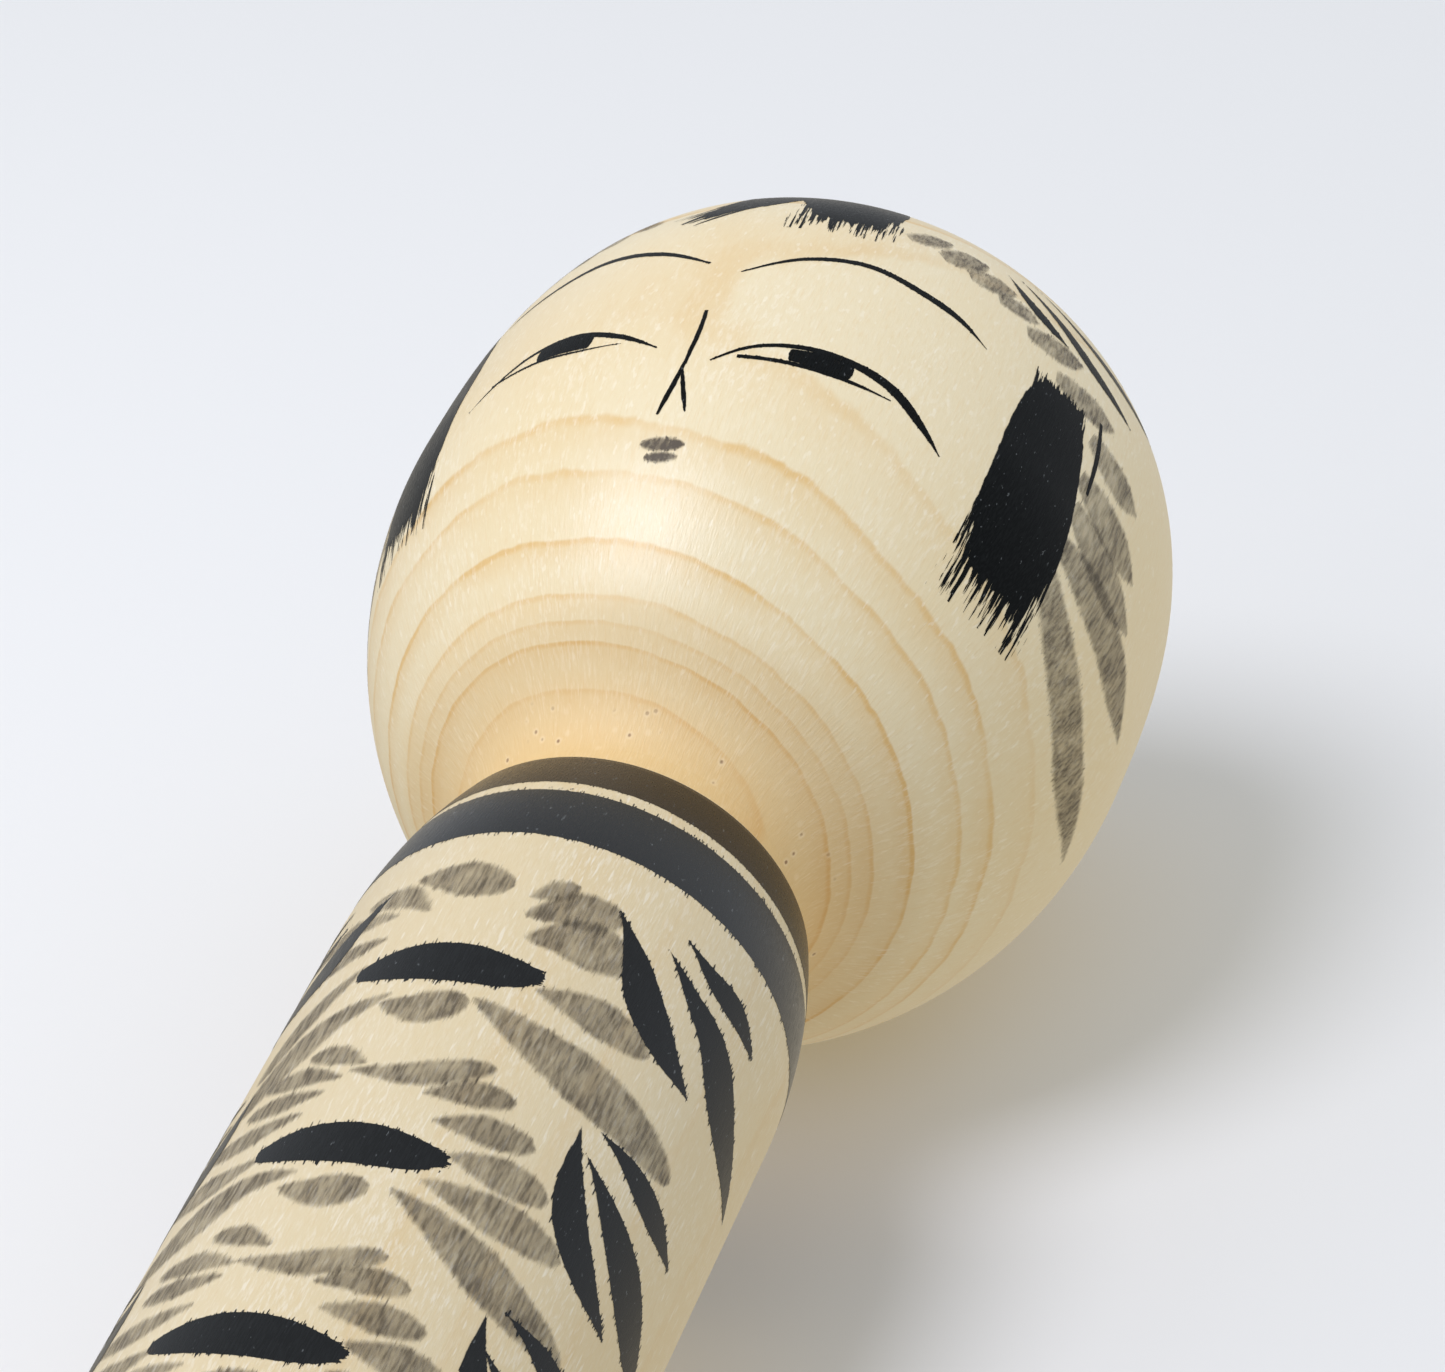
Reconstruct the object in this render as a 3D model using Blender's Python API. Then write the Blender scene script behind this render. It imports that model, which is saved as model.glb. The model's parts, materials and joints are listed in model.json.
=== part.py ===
"""Kokeshi doll: a turned wooden head that plugs into a turned wooden body.

Both pieces are solids of revolution about the Z axis. The doll stands on z = 0 and faces -Y.
The head ends in a short neck and a round tenon, which sits in a blind socket in the top of the
body, so the head turns about Z. Units are metres.
"""

import math

import bpy
from mathutils import Vector

MM = 0.001

# Driving dimensions
TOTAL_HEIGHT = 242 * MM  # eight sun, the usual middle size of a doll like this
HEAD_RADIUS = 40 * MM
CROWN_HEIGHT = 44.6 * MM  # widest ring of the head up to its top
CROWN_FULLNESS = 3.0  # 2 is an ellipse, more is squarer
CHIN_HEIGHT = 46.6 * MM  # widest ring down to where the round would close without a neck
CHIN_FULLNESS = 1.96
CREASE_DROP = 43.7 * MM  # widest ring down to the crease where the round meets the neck
NECK_DROP = 48.6 * MM  # widest ring down to the top of the body

BODY_RADIUS = 23 * MM
SHOULDER_DROP = 21.6 * MM  # height of the rounded shoulder, from the straight side up to the rim
SHOULDER_RISE = 37.1 * MM  # full height of the round that the shoulder is a part of
SHOULDER_CENTRE = 5.8 * MM  # how far that round's centre is from the axis
SHOULDER_FULLNESS = 1.93
RIM_ROUND = 0.5 * MM

GAP = 0.3 * MM  # between the two pieces, all round
NECK_RADIUS = 17.2 * MM
CHIN_TURN_RADIUS = 27.7 * MM  # where the round of the head starts to bend down to the neck
CHIN_TURN_PULL = 5 * MM
CREASE_PULL = 6 * MM
CREASE_SLOPE = math.radians(71)
TENON_RADIUS = 10 * MM
TENON_LENGTH = 20 * MM
TENON_CHAMFER = 1.2 * MM
SOCKET_CLEARANCE_BELOW = 2 * MM
SOCKET_CHAMFER = 1 * MM

BASE_CHAMFER = 1 * MM
BASE_RIM_WIDTH = 5 * MM  # the flat ring that the doll stands on
BASE_HOLLOW = 0.8 * MM  # depth of the dish turned into the base

SEGMENTS = 64  # sides round the axis
SHARP_ANGLE = math.radians(35)

# Places worked out from the dimensions
WIDEST_Z = TOTAL_HEIGHT - CROWN_HEIGHT
CREASE_Z = WIDEST_Z - CREASE_DROP
BODY_TOP = WIDEST_Z - NECK_DROP
SHOULDER_Z = BODY_TOP - SHOULDER_DROP
SOCKET_RADIUS = TENON_RADIUS + GAP
SOCKET_FLOOR = BODY_TOP - TENON_LENGTH - SOCKET_CLEARANCE_BELOW


def clear_scene():
    for obj in list(bpy.data.objects):
        bpy.data.objects.remove(obj, do_unlink=True)


def lobe(radius, height, fullness, count):
    """A quarter superellipse as (r, z), from its tip on the axis out to its widest point at z = 0."""
    points = []
    for step in range(count + 1):
        angle = math.pi / 2 * (1 - step / count)
        r = radius * math.cos(angle) ** (2 / fullness) if step else 0.0
        z = height * math.sin(angle) ** (2 / fullness)
        points.append((r, z))
    return points


def bezier(start, start_pull, end_pull, end, count):
    """Points of a cubic curve after its start, up to and including its end."""
    points = []
    for step in range(1, count + 1):
        t = step / count
        s = 1 - t
        points.append(
            tuple(
                s**3 * a + 3 * s * s * t * b + 3 * s * t * t * c + t**3 * d
                for a, b, c, d in zip(start, start_pull, end_pull, end)
            )
        )
    return points


def shoulder_radius(z):
    """The body's outer radius at height z on the rounded shoulder."""
    rise = (z - SHOULDER_Z) / SHOULDER_RISE
    share = (1 - rise**SHOULDER_FULLNESS) ** (1 / SHOULDER_FULLNESS)
    return SHOULDER_CENTRE + (BODY_RADIUS - SHOULDER_CENTRE) * share


def turn(name, profile, material):
    """A solid turned round Z from (r, z) points that run down its outer side, axis to axis."""
    mesh = bpy.data.meshes.new(name)
    points = [Vector((r, 0.0, z)) for r, z in profile]
    edges = [(i, i + 1) for i in range(len(points) - 1)]
    mesh.from_pydata(points, edges, [])
    obj = bpy.data.objects.new(name, mesh)
    bpy.context.scene.collection.objects.link(obj)
    screw = obj.modifiers.new("turned", "SCREW")
    screw.axis = "Z"
    screw.angle = math.tau
    screw.steps = SEGMENTS
    screw.render_steps = SEGMENTS
    screw.use_merge_vertices = True
    screw.merge_threshold = 0.00001
    screw.use_smooth_shade = True
    realise(obj)
    obj.data.materials.append(material)
    return obj


def realise(obj):
    """Applies the modifiers, so that the edges can be marked sharp where the form turns a corner."""
    graph = bpy.context.evaluated_depsgraph_get()
    mesh = bpy.data.meshes.new_from_object(obj.evaluated_get(graph))
    mesh.name = obj.name
    obj.modifiers.clear()
    obj.data = mesh
    mesh.shade_smooth()
    mesh.set_sharp_from_angle(angle=SHARP_ANGLE)


def wood(name, colour, roughness):
    material = bpy.data.materials.new(name)
    material.use_nodes = True
    shader = material.node_tree.nodes["Principled BSDF"]
    shader.inputs["Base Color"].default_value = (*colour, 1.0)
    shader.inputs["Roughness"].default_value = roughness
    shader.inputs["Metallic"].default_value = 0.0
    return material


def chin_turn():
    """The underside of the head from where it leaves the round, down to the crease at the neck."""
    ratio = CHIN_TURN_RADIUS / HEAD_RADIUS
    depth = (1 - ratio**CHIN_FULLNESS) ** (1 / CHIN_FULLNESS)
    start = (CHIN_TURN_RADIUS, WIDEST_Z - CHIN_HEIGHT * depth)
    normal_r = ratio ** (CHIN_FULLNESS - 1) / HEAD_RADIUS
    normal_z = depth ** (CHIN_FULLNESS - 1) / CHIN_HEIGHT
    length = math.hypot(normal_r, normal_z)
    start_pull = (
        start[0] - CHIN_TURN_PULL * normal_z / length,
        start[1] - CHIN_TURN_PULL * normal_r / length,
    )
    end = (NECK_RADIUS, CREASE_Z)
    end_pull = (
        end[0] + CREASE_PULL * math.cos(CREASE_SLOPE),
        end[1] + CREASE_PULL * math.sin(CREASE_SLOPE),
    )
    return [start] + bezier(start, start_pull, end_pull, end, 8)


def make_head():
    crown = [(r, WIDEST_Z + z) for r, z in lobe(HEAD_RADIUS, CROWN_HEIGHT, CROWN_FULLNESS, 14)]
    chin = [(r, WIDEST_Z - z) for r, z in reversed(lobe(HEAD_RADIUS, CHIN_HEIGHT, CHIN_FULLNESS, 16))]
    cheek = [(r, z) for r, z in chin[1:] if r > CHIN_TURN_RADIUS + MM]
    shelf_z = BODY_TOP + GAP
    tenon_end = BODY_TOP - TENON_LENGTH
    neck_and_tenon = [
        (NECK_RADIUS, shelf_z),
        (TENON_RADIUS, shelf_z),
        (TENON_RADIUS, tenon_end + TENON_CHAMFER),
        (TENON_RADIUS - TENON_CHAMFER, tenon_end),
        (0.0, tenon_end),
    ]
    material = wood("head_wood", (0.80, 0.66, 0.43), 0.38)
    return turn("head", crown + cheek + chin_turn() + neck_and_tenon, material)


def make_body():
    socket = [
        (0.0, SOCKET_FLOOR),
        (SOCKET_RADIUS, SOCKET_FLOOR),
        (SOCKET_RADIUS, BODY_TOP - SOCKET_CHAMFER),
        (SOCKET_RADIUS + SOCKET_CHAMFER, BODY_TOP),
    ]
    shoulder = [(shoulder_radius(BODY_TOP) - RIM_ROUND, BODY_TOP)]
    steps = 12
    for step in range(steps + 1):
        z = BODY_TOP - RIM_ROUND - (SHOULDER_DROP - RIM_ROUND) * step / steps
        shoulder.append((shoulder_radius(max(z, SHOULDER_Z)), z))
    foot = [
        (BODY_RADIUS, SHOULDER_Z / 2),
        (BODY_RADIUS, BASE_CHAMFER),
        (BODY_RADIUS - BASE_CHAMFER, 0.0),
        (BODY_RADIUS - BASE_CHAMFER - BASE_RIM_WIDTH, 0.0),
        (0.0, BASE_HOLLOW),
    ]
    material = wood("body_wood", (0.82, 0.70, 0.47), 0.38)
    return turn("body", socket + shoulder + foot, material)


def main():
    clear_scene()
    stand = bpy.data.objects.new("doll_axis", None)
    bpy.context.scene.collection.objects.link(stand)
    for piece in (make_body(), make_head()):
        piece.parent = stand


main()
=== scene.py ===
"""Looks of a turned kokeshi doll: waxed pale wood with brushed ink and thin grey ink washes.

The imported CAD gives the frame: the doll stands on z = 0, faces -Y, and its head turns about Z.
Both turned pieces get a fine mesh on the CAD's own outline, and every brush mark is a thin skin
that lies on the wood. Places on the wood are given as (turn, height): degrees round from the
face towards +X, and millimetres of height.
"""

import json
import math

import bpy
import numpy as np
from mathutils import Matrix, Vector

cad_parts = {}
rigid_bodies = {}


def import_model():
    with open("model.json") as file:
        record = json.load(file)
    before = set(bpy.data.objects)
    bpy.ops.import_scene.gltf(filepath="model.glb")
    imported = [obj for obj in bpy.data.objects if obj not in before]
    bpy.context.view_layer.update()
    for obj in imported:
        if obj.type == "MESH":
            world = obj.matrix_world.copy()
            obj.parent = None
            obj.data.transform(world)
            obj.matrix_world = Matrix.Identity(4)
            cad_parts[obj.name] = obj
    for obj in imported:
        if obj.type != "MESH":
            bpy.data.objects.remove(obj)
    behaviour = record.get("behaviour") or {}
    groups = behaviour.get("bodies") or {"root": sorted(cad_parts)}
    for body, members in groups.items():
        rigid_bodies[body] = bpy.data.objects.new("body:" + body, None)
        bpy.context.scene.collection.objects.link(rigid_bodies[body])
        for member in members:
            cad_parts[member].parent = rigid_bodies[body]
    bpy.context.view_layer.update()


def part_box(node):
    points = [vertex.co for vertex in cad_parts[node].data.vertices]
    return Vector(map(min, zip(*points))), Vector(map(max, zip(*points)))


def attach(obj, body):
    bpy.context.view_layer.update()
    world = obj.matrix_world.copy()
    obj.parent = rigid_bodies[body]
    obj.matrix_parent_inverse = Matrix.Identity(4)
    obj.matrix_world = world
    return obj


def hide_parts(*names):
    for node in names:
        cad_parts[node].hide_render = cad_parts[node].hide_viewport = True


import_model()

MM = 0.001
HEAD_LOW, HEAD_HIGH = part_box("head")
BODY_LOW, BODY_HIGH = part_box("body")

# The outline of the two turned pieces, as in the CAD, in millimetres
HEAD_TOP = HEAD_HIGH.z / MM
HEAD_RADIUS = HEAD_HIGH.x / MM
BODY_TOP = BODY_HIGH.z / MM
BODY_RADIUS = BODY_HIGH.x / MM
TENON_END = HEAD_LOW.z / MM
CROWN_HEIGHT = 44.6
CROWN_FULLNESS = 3.0
CHIN_HEIGHT = 46.6
CHIN_FULLNESS = 1.96
CREASE_DROP = 43.7
NECK_RADIUS = 17.2
CHIN_TURN_RADIUS = 27.7
CHIN_TURN_PULL = 5.0
CREASE_PULL = 6.0
CREASE_SLOPE = math.radians(71)
CREASE_ROUND = 0.25
SHOULDER_DROP = 21.6
SHOULDER_RISE = 37.1
SHOULDER_CENTRE = 5.8
SHOULDER_FULLNESS = 1.93
RIM_ROUND = 0.5
GAP = 0.3
TENON_RADIUS = 10.0
TENON_CHAMFER = 1.2
SOCKET_RADIUS = TENON_RADIUS + GAP
SOCKET_FLOOR = TENON_END - 2.0
SOCKET_CHAMFER = 1.0
BASE_CHAMFER = 1.0
BASE_RIM_WIDTH = 5.0
BASE_HOLLOW = 0.8

WIDEST = HEAD_TOP - CROWN_HEIGHT
CREASE = WIDEST - CREASE_DROP
SHOULDER = BODY_TOP - SHOULDER_DROP

# What the visual pieces have beyond the CAD, in millimetres
BASE_GROOVES = 5  # lathe marks in the hollow of the base
GROOVE_DEPTH = 0.06
GROOVE_STEPS = 4  # rings of points to a groove

# How finely the outlines and meshes are cut
LOBE_STEPS = 1200
CHIN_TURN_STEPS = 80
SHOULDER_STEPS = 300
RIM_STEPS = 8
RIM_END = 0.25  # the angle, in radians, at which the rim's round runs into the shoulder
SIDE_SPACING = 0.1
RIM_ROWS = 8  # rows of the body's side, at that spacing, that lie on the rim's round
HEAD_SPACING = 0.75
BODY_SPACING = 1.0
SEGMENTS = 256  # sides round a turned piece
SHARP_ANGLE = math.radians(32)

# Brush marks, in millimetres
FEATHER = 0.8  # from a mark's edge to where its cover runs out, each way
FINE_FEATHER = 0.45
BAND_FEATHER = 0.6
STROKE_SPACING = 0.5  # between the points along a mark
FINE_SPACING = 0.3
COLUMN_WIDTH = 0.6  # between the points across a wide mark
BAND_ROWS = 12
WASH_LIFT = 0.020  # how far a mark stands off the wood
INK_LIFT = 0.034
FLOWER_LEAF_LIFT = INK_LIFT + 0.006
CROWN_LEAF_LIFT = INK_LIFT + 0.01
LIFT_STEP = 0.0006  # between one mark and the next, so that marks that cross stay apart
RAG_REACH = 7.0  # how far torn bristles reach in from a fully ragged end
RUN_OUT = 1.6  # over which the cover of a fully ragged end runs out
FULL_COVER = 4.0  # more cover than the edge's wavering can take away
BRISTLE_SHIFT = 37.0  # along the bristle pattern, from one mark to the next

rng = np.random.default_rng(8)


# ---------------------------------------------------------------- outlines


def lobe(radius, height, fullness, count):
    """A quarter superellipse as (r, z) rows, from its tip on the axis out to its widest point."""
    angle = np.linspace(math.pi / 2, 0, count)
    r = radius * np.cos(angle) ** (2 / fullness)
    z = height * np.sin(angle) ** (2 / fullness)
    r[0] = 0.0
    return np.stack([r, z], axis=1)


def bezier(start, start_pull, end_pull, end, count):
    """Rows of a cubic curve, with its ends."""
    t = np.linspace(0, 1, count)[:, None]
    s = 1 - t
    rows = s**3 * np.array(start) + 3 * s * s * t * np.array(start_pull)
    return rows + 3 * s * t * t * np.array(end_pull) + t**3 * np.array(end)


def evenly(rows, spacing):
    """The same outline with its points about that far apart, and with its ends kept."""
    steps = np.hypot(*np.diff(rows, axis=0).T)
    length = np.concatenate([[0], np.cumsum(steps)])
    places = np.linspace(0, length[-1], max(2, round(length[-1] / spacing) + 1))
    return np.stack([np.interp(places, length, column) for column in rows.T], axis=1)


def head_side():
    """The outer side of the head, from the top of the crown down to the crease over the neck."""
    crown = lobe(HEAD_RADIUS, CROWN_HEIGHT, CROWN_FULLNESS, LOBE_STEPS)
    chin = lobe(HEAD_RADIUS, CHIN_HEIGHT, CHIN_FULLNESS, LOBE_STEPS)[::-1]
    chin = chin[chin[:, 0] > CHIN_TURN_RADIUS]
    ratio = CHIN_TURN_RADIUS / HEAD_RADIUS
    depth = (1 - ratio**CHIN_FULLNESS) ** (1 / CHIN_FULLNESS)
    start = np.array([CHIN_TURN_RADIUS, -CHIN_HEIGHT * depth])
    normal = np.array(
        [ratio ** (CHIN_FULLNESS - 1) / HEAD_RADIUS, depth ** (CHIN_FULLNESS - 1) / CHIN_HEIGHT]
    )
    normal /= np.linalg.norm(normal)
    end = np.array([NECK_RADIUS, -CREASE_DROP])
    turn = bezier(
        start,
        start - CHIN_TURN_PULL * np.array([normal[1], normal[0]]),
        end + CREASE_PULL * np.array([math.cos(CREASE_SLOPE), math.sin(CREASE_SLOPE)]),
        end,
        CHIN_TURN_STEPS,
    )
    rows = np.concatenate([crown, chin[1:] * [1, -1], turn])
    return rows + [0, WIDEST]


def shoulder_radius(z):
    """The body's outer radius at height z."""
    rise = np.clip((z - SHOULDER) / SHOULDER_RISE, 0, 1)
    share = (1 - rise**SHOULDER_FULLNESS) ** (1 / SHOULDER_FULLNESS)
    return SHOULDER_CENTRE + (BODY_RADIUS - SHOULDER_CENTRE) * share


def body_side():
    """The outer side of the body, from the rim at its top down to the foot."""
    rim_foot = BODY_TOP - RIM_ROUND
    centre = float(shoulder_radius(rim_foot)) - RIM_ROUND
    angle = np.linspace(math.pi / 2, RIM_END, RIM_STEPS)
    rim = np.stack([centre + RIM_ROUND * np.cos(angle), rim_foot + RIM_ROUND * np.sin(angle)], axis=1)
    z = np.linspace(rim_foot, SHOULDER, SHOULDER_STEPS)
    shoulder = np.stack([shoulder_radius(z), z], axis=1)
    return np.concatenate([rim, shoulder, [[BODY_RADIUS, BASE_CHAMFER]]])


class Side:
    """The outer side of a turned piece. A place on it is (turn in degrees, height in millimetres)."""

    def __init__(self, rows):
        self.rows = evenly(rows, SIDE_SPACING)
        steps = np.hypot(*np.diff(self.rows, axis=0).T)
        self.length = np.concatenate([[0], np.cumsum(steps)])
        slope = np.gradient(self.rows, self.length, axis=0)
        self.normal = np.stack([-slope[:, 1], slope[:, 0]], axis=1)

    def down(self, height):
        """How far down the side a height is, measured along the side."""
        return np.interp(-np.asarray(height), -self.rows[:, 1], self.length)

    def column(self, table, down, k):
        return np.interp(down, self.length, table[:, k])

    def radius(self, down):
        return self.column(self.rows, down, 0)

    def points(self, turn, down, lift):
        """Points in metres, a little proud of the wood."""
        r = self.radius(down) + lift * self.column(self.normal, down, 0)
        z = self.column(self.rows, down, 1) + lift * self.column(self.normal, down, 1)
        angle = np.radians(turn)
        return np.stack([r * np.sin(angle), -r * np.cos(angle), z], axis=-1) * MM


HEAD = Side(head_side())
BODY = Side(body_side())


# ---------------------------------------------------------------- meshes


def mesh_object(name, points, faces, body):
    """A smooth piece that moves with a body."""
    mesh = bpy.data.meshes.new(name)
    mesh.from_pydata(points.tolist(), [], faces)
    mesh.shade_smooth()
    mesh.update()
    obj = bpy.data.objects.new(name, mesh)
    bpy.context.scene.collection.objects.link(obj)
    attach(obj, body)
    return obj


def turned(name, rows, body):
    """A solid turned from (r, z) rows that run down its outer side, from axis to axis. Its points
    keep their distance down the outline, in millimetres, for the grain."""
    count = len(rows) - 2
    angle = np.arange(SEGMENTS) / SEGMENTS * math.tau
    r, z = rows[1:-1, 0], rows[1:-1, 1]
    ring = np.stack(
        [
            r[:, None] * np.sin(angle),
            -r[:, None] * np.cos(angle),
            np.repeat(z[:, None], SEGMENTS, axis=1),
        ],
        axis=-1,
    ).reshape(-1, 3)
    ends = np.array([[0, 0, rows[0, 1]], [0, 0, rows[-1, 1]]])
    points = np.concatenate([ring, ends]) * MM
    top, bottom = count * SEGMENTS, count * SEGMENTS + 1
    faces = []
    for j in range(SEGMENTS):
        k = (j + 1) % SEGMENTS
        faces.append((top, j, k))
        for i in range(count - 1):
            a = i * SEGMENTS
            faces.append((a + j, a + SEGMENTS + j, a + SEGMENTS + k, a + k))
        last = (count - 1) * SEGMENTS
        faces.append((last + k, last + j, bottom))
    obj = mesh_object(name, points, faces, body)
    steps = np.hypot(*np.diff(rows[1:-1], axis=0).T)
    down = np.concatenate([[0], np.cumsum(steps)])
    down = np.concatenate([np.repeat(down, SEGMENTS), [down[0], down[-1]]])
    layer = obj.data.attributes.new("down", "FLOAT", "POINT")
    layer.data.foreach_set("value", down.astype(np.float32))
    obj.data.set_sharp_from_angle(angle=SHARP_ANGLE)
    return obj


def make_head():
    """The head with its neck and tenon. Rows close to a corner keep the shading beside it even."""
    neck_foot = BODY_TOP + GAP
    neck = [
        [NECK_RADIUS, CREASE - CREASE_ROUND],
        [NECK_RADIUS, CREASE - 1.5],
        [NECK_RADIUS, neck_foot + 0.4],
        [NECK_RADIUS, neck_foot],
        [NECK_RADIUS - 2, neck_foot],
        [TENON_RADIUS, neck_foot],
        [TENON_RADIUS, neck_foot - 6],
        [TENON_RADIUS, TENON_END + TENON_CHAMFER],
        [TENON_RADIUS - TENON_CHAMFER, TENON_END],
        [0, TENON_END],
    ]
    rows = np.concatenate([evenly(HEAD.rows, HEAD_SPACING), neck])
    head = turned("head_wood_turned", rows, "head")
    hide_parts("head")
    return head


def make_body():
    """The body with its socket and its hollow base."""
    socket = [
        [0, SOCKET_FLOOR],
        [SOCKET_RADIUS, SOCKET_FLOOR],
        [SOCKET_RADIUS, BODY_TOP - SOCKET_CHAMFER],
        [SOCKET_RADIUS + SOCKET_CHAMFER, BODY_TOP],
    ]
    hollow_radius = BODY_RADIUS - BASE_CHAMFER - BASE_RIM_WIDTH
    foot = [
        [BODY_RADIUS - 0.25 * BASE_CHAMFER, 0.4 * BASE_CHAMFER],
        [BODY_RADIUS - BASE_CHAMFER, 0],
        [hollow_radius, 0],
    ]
    steps = BASE_GROOVES * GROOVE_STEPS
    for k in range(steps):
        share = (k + 1) / (steps + 1)
        ripple = GROOVE_DEPTH * math.sin(share * BASE_GROOVES * math.tau)
        foot.append([hollow_radius * (1 - share), BASE_HOLLOW * math.sqrt(share) + ripple])
    foot.append([0, BASE_HOLLOW])
    column = evenly(BODY.rows[RIM_ROWS:], BODY_SPACING)
    rows = np.concatenate([socket, BODY.rows[:RIM_ROWS], column, foot])
    body = turned("body_wood_turned", rows, "body")
    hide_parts("body")
    return body


# ---------------------------------------------------------------- brush marks


def smooth_path(places, spacing, side):
    """A smooth line through a few (turn, height) places: its turn, its length down the side and the
    length along it, point by point."""
    turn = np.array([p[0] for p in places], float)
    down = side.down([p[1] for p in places])
    across = np.radians(turn) * side.radius(down).mean()
    knots = np.concatenate([[0], np.cumsum(np.hypot(np.diff(across), np.diff(down)))])
    count = max(8, int(knots[-1] / spacing))
    t = np.linspace(0, knots[-1], count)
    return catmull(knots, turn, t), catmull(knots, down, t), t


def catmull(knots, values, t):
    """A smooth curve through the values at three or more knots."""
    slope = np.gradient(values, knots)
    i = np.clip(np.searchsorted(knots, t, side="right") - 1, 0, len(knots) - 2)
    h = knots[i + 1] - knots[i]
    u = (t - knots[i]) / h
    a = values[i] * (1 + 2 * u) * (1 - u) ** 2 + values[i + 1] * u * u * (3 - 2 * u)
    return a + h * (slope[i] * u * (1 - u) ** 2 + slope[i + 1] * u * u * (u - 1))


def leaf(width, fullest):
    """Half width of a mark that swells from a point and comes back to a point."""
    power = math.log(0.5) / math.log(fullest)
    return lambda t: width * np.sin(math.pi * t**power)


def boat(width, start, end):
    """Half width of a mark that is full along its middle and narrows to two blunt ends."""

    def half(t):
        swell = np.clip(1 - np.abs(2 * t - 1) ** 2.2, 0, 1) ** 0.8
        return width * swell + start * (1 - t) + end * t

    return half


def dab(width):
    """Half width of a short stroke that starts full and runs out to a point."""
    return through(0.45 * width, 0.9 * width, width, 0.85 * width, 0.05)


def petal(width, fullest=0.6):
    """Half width of a mark that starts at a point and ends rounded."""

    def half(t):
        rounded = np.sqrt(np.clip(1 - ((t - fullest) / (1 - fullest)) ** 2, 0, 1))
        return width * np.minimum((t / fullest) ** 0.75, rounded)

    return half


def through(*widths):
    """Half width that passes through the given values, evenly spread along the mark."""
    places = np.linspace(0, 1, len(widths))
    return lambda t: catmull(places, np.array(widths, float), t)


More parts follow.
